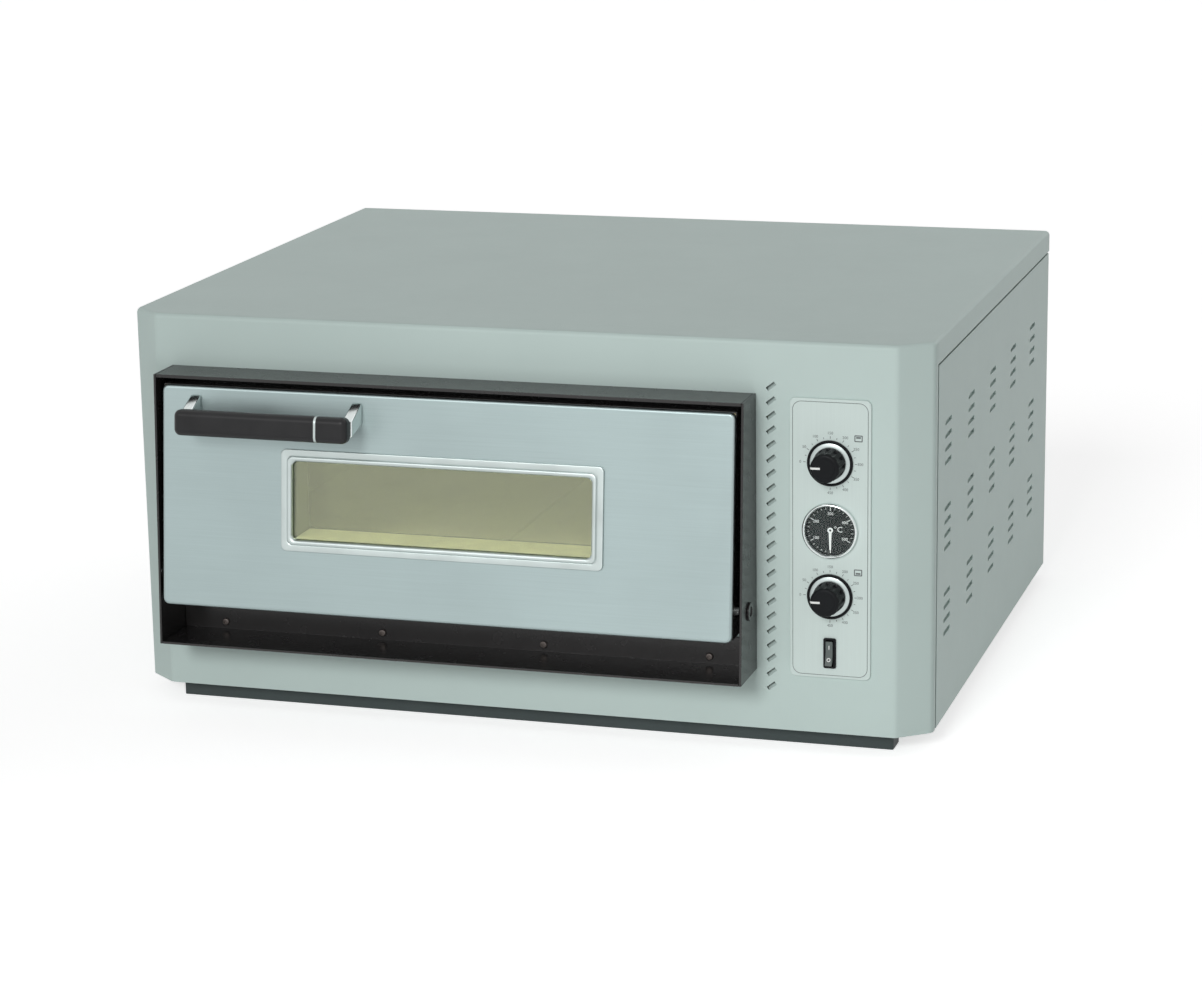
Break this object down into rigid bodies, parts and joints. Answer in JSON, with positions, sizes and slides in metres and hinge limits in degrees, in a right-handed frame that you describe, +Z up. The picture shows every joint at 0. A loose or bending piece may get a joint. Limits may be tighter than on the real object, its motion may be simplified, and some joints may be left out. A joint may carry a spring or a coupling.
{
  "type": "countertop pizza oven",
  "caption": "Single-deck countertop electric pizza oven with a drop-down windowed door, stone baking deck, thermostat knobs, thermometer and rocker switch.",
  "frame": {"origin": "middle of the oven's bounding box, on the surface that the plinth rails stand on", "axes": "+X to the right seen from the front, +Y from the door to the rear, +Z up"},
  "size_m": [0.9, 0.857, 0.443],
  "materials": {
    "casing_paint": "satin",
    "plinth_paint": "matte",
    "black_enamel": "satin",
    "door_steel": "satin",
    "bright_trim": "polished",
    "chamber_steel": "satin",
    "element_steel": "matte",
    "baking_stone": "matte",
    "insulation_wool": "matte",
    "gasket_rope": "matte",
    "window_glass": "gloss",
    "black_plastic": "satin",
    "control_plate": "satin",
    "dial_face": "matte",
    "needle_white": "matte",
    "white_plastic": "matte"
  },
  "bodies": {
    "oven": {"front_fascia": "casing_paint", "top_cover": "casing_paint", "left_side_panel": "casing_paint", "right_side_panel": "casing_paint", "rear_panel": "casing_paint", "plinth_front_rail": "plinth_paint", "plinth_rear_rail": "plinth_paint", "cradle_left_cheek": "black_enamel", "cradle_right_cheek": "black_enamel", "cradle_floor": "black_enamel", "cradle_hood": "black_enamel", "hinge_bush_left": "black_enamel", "hinge_bush_right": "black_enamel", "thermometer_case": "bright_trim", "chamber_floor": "chamber_steel", "chamber_roof": "chamber_steel", "chamber_left_wall": "chamber_steel", "chamber_right_wall": "chamber_steel", "chamber_back_wall": "chamber_steel", "stone_rail_centre": "chamber_steel", "base_pan": "chamber_steel", "lower_element": "element_steel", "upper_element": "element_steel", "baking_stone_left": "baking_stone", "baking_stone_right": "baking_stone", "insulation_left": "insulation_wool", "insulation_right": "insulation_wool", "insulation_rear": "insulation_wool", "insulation_top": "insulation_wool", "insulation_bottom": "insulation_wool", "thermometer_glass": "window_glass", "switch_housing": "black_plastic", "cable_gland": "black_plastic", "control_plate": "control_plate", "thermometer_dial": "dial_face", "upper_thermostat": "white_plastic", "lower_thermostat": "white_plastic", "terminal_block": "white_plastic"},
    "door": {"door_shell": "black_enamel", "door_skin": "door_steel", "door_insulation": "insulation_wool", "door_gasket": "gasket_rope", "window_bezel": "bright_trim", "window_outer_glass": "window_glass", "window_inner_glass": "window_glass", "window_sleeve": "chamber_steel", "handle_grip": "black_plastic", "handle_standoff_left": "bright_trim", "handle_standoff_right": "bright_trim", "hinge_pin_left": "bright_trim", "hinge_pin_right": "bright_trim"},
    "upper_knob": {"upper_knob": "black_plastic", "upper_knob_skirt": "bright_trim", "upper_shaft": "bright_trim"},
    "lower_knob": {"lower_knob": "black_plastic", "lower_knob_skirt": "bright_trim", "lower_shaft": "bright_trim"},
    "thermometer_needle": {"thermometer_needle": "needle_white"},
    "switch_rocker": {"switch_rocker": "black_plastic"}
  },
  "joints": [
    {"name": "door_hinge", "type": "hinge", "parent": "oven", "child": "door", "pos_m": [-0.0655, -0.35796, 0.1586], "axis": [1, 0, 0], "range_deg": [0, 90]},
    {"name": "upper_knob_turn", "type": "hinge", "parent": "oven", "child": "upper_knob", "pos_m": [0.345, -0.32446, 0.316], "axis": [0, 1, 0], "range_deg": [0, 270]},
    {"name": "lower_knob_turn", "type": "hinge", "parent": "oven", "child": "lower_knob", "pos_m": [0.345, -0.32446, 0.172], "axis": [0, 1, 0], "range_deg": [0, 270]},
    {"name": "thermometer_needle_turn", "type": "hinge", "parent": "oven", "child": "thermometer_needle", "pos_m": [0.345, -0.32446, 0.2435], "axis": [0, 1, 0], "range_deg": [0, 300]},
    {"name": "switch_rocker_tilt", "type": "hinge", "parent": "oven", "child": "switch_rocker", "pos_m": [0.345, -0.32946, 0.11], "axis": [1, 0, 0], "range_deg": [0, 18]}
  ]
}
